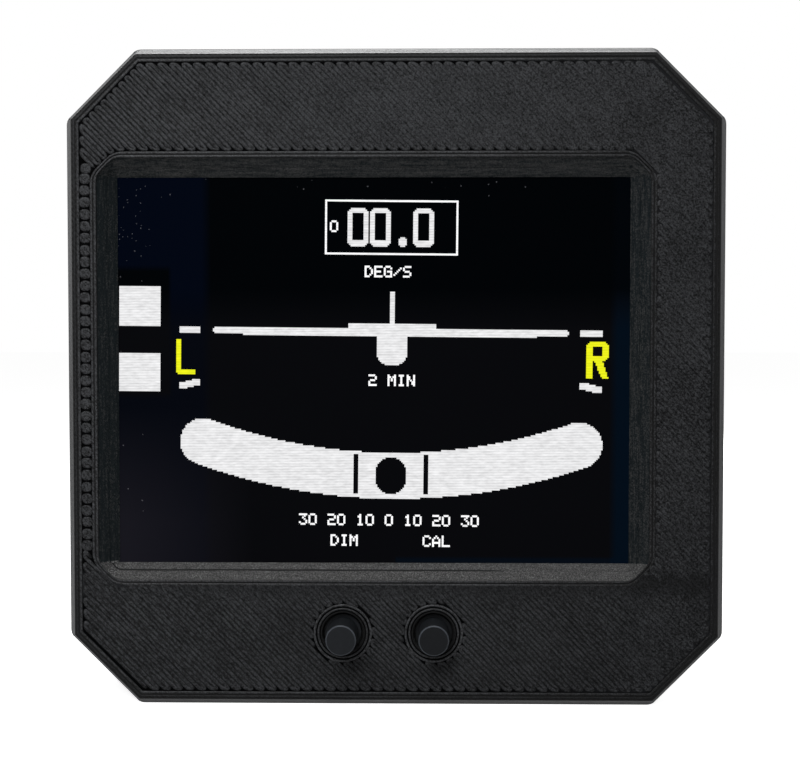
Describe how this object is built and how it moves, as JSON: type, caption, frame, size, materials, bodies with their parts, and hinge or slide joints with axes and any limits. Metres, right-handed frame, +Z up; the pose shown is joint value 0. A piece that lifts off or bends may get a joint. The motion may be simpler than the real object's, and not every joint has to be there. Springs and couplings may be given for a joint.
{
  "type": "turn coordinator",
  "caption": "Square-faced electronic aircraft turn coordinator with a lit display, push buttons below it, and a round case behind the panel flange.",
  "frame": {"origin": "on the axis of the round case, in the plane of the instrument panel's front, which is the flange's rear face and the middle of the four panel screws", "axes": "the face looks along -Y, +Y runs along the case to the plug, +Z is up and +X is to the right seen from the front"},
  "size_m": [0.0826, 0.0503, 0.0826],
  "materials": {
    "printed_shell": "black filament print, 0.2 mm layers, satin",
    "button_plastic": "moulded black plastic, satin",
    "display_glass": "black liquid crystal panel with a satin polariser",
    "white_plastic": "moulded white plastic",
    "clear_plastic": "clear acrylic sheet",
    "foam": "adhesive foam tape",
    "flex_film": "amber polyimide film with copper",
    "circuit_board": "green solder mask on glass fibre",
    "black_plastic": "moulded black plastic",
    "steel": "zinc or nickel plated steel",
    "brass": "turned brass",
    "ribbon_sheath": "grey ribbed ribbon cable",
    "ferrite": "dark ferrite",
    "capacitor_can": "shrink sleeve on an aluminium can",
    "gold_plate": "gold plated contact"
  },
  "bodies": {
    "instrument": {"front_bezel": "printed_shell", "rear_housing": "printed_shell", "rear_cover": "printed_shell", "lcd_glass": "display_glass", "backlight_tray": "white_plastic", "light_guide": "clear_plastic", "display_tape": "foam", "display_tail": "flex_film", "tail_connector": "white_plastic", "display_board": "circuit_board", "processor_chip": "black_plastic", "clock_crystal": "steel", "switch_bodies": "black_plastic", "switch_covers": "steel", "switch_domes": "steel", "switch_legs": "steel", "case_inserts": "brass", "case_screws": "steel", "panel_inserts": "brass", "board_screws": "steel", "link_headers": "black_plastic", "link_sockets": "black_plastic", "link_ribbon": "ribbon_sheath", "power_board": "circuit_board", "rate_sensor": "black_plastic", "power_inductor": "ferrite", "filter_capacitors": "capacitor_can", "voltage_regulator": "black_plastic", "board_standoffs": "brass", "standoff_screws": "steel", "cover_inserts": "brass", "cover_screws": "steel", "plug_shell": "steel", "plug_insulator": "black_plastic", "plug_contacts": "gold_plate", "plug_jack_posts": "steel"},
    "dim_key": {"dim_plunger": "black_plastic", "dim_button": "button_plastic"},
    "cal_key": {"cal_plunger": "black_plastic", "cal_button": "button_plastic"}
  },
  "joints": [
    {"name": "dim_press", "type": "slide", "parent": "instrument", "child": "dim_key", "axis": [0, 1, 0], "range_m": [0, 0.00025], "stiffness_N_per_m": 8000, "springref_m": -0.00005},
    {"name": "cal_press", "type": "slide", "parent": "instrument", "child": "cal_key", "axis": [0, 1, 0], "range_m": [0, 0.00025], "stiffness_N_per_m": 8000, "springref_m": -0.00005}
  ]
}
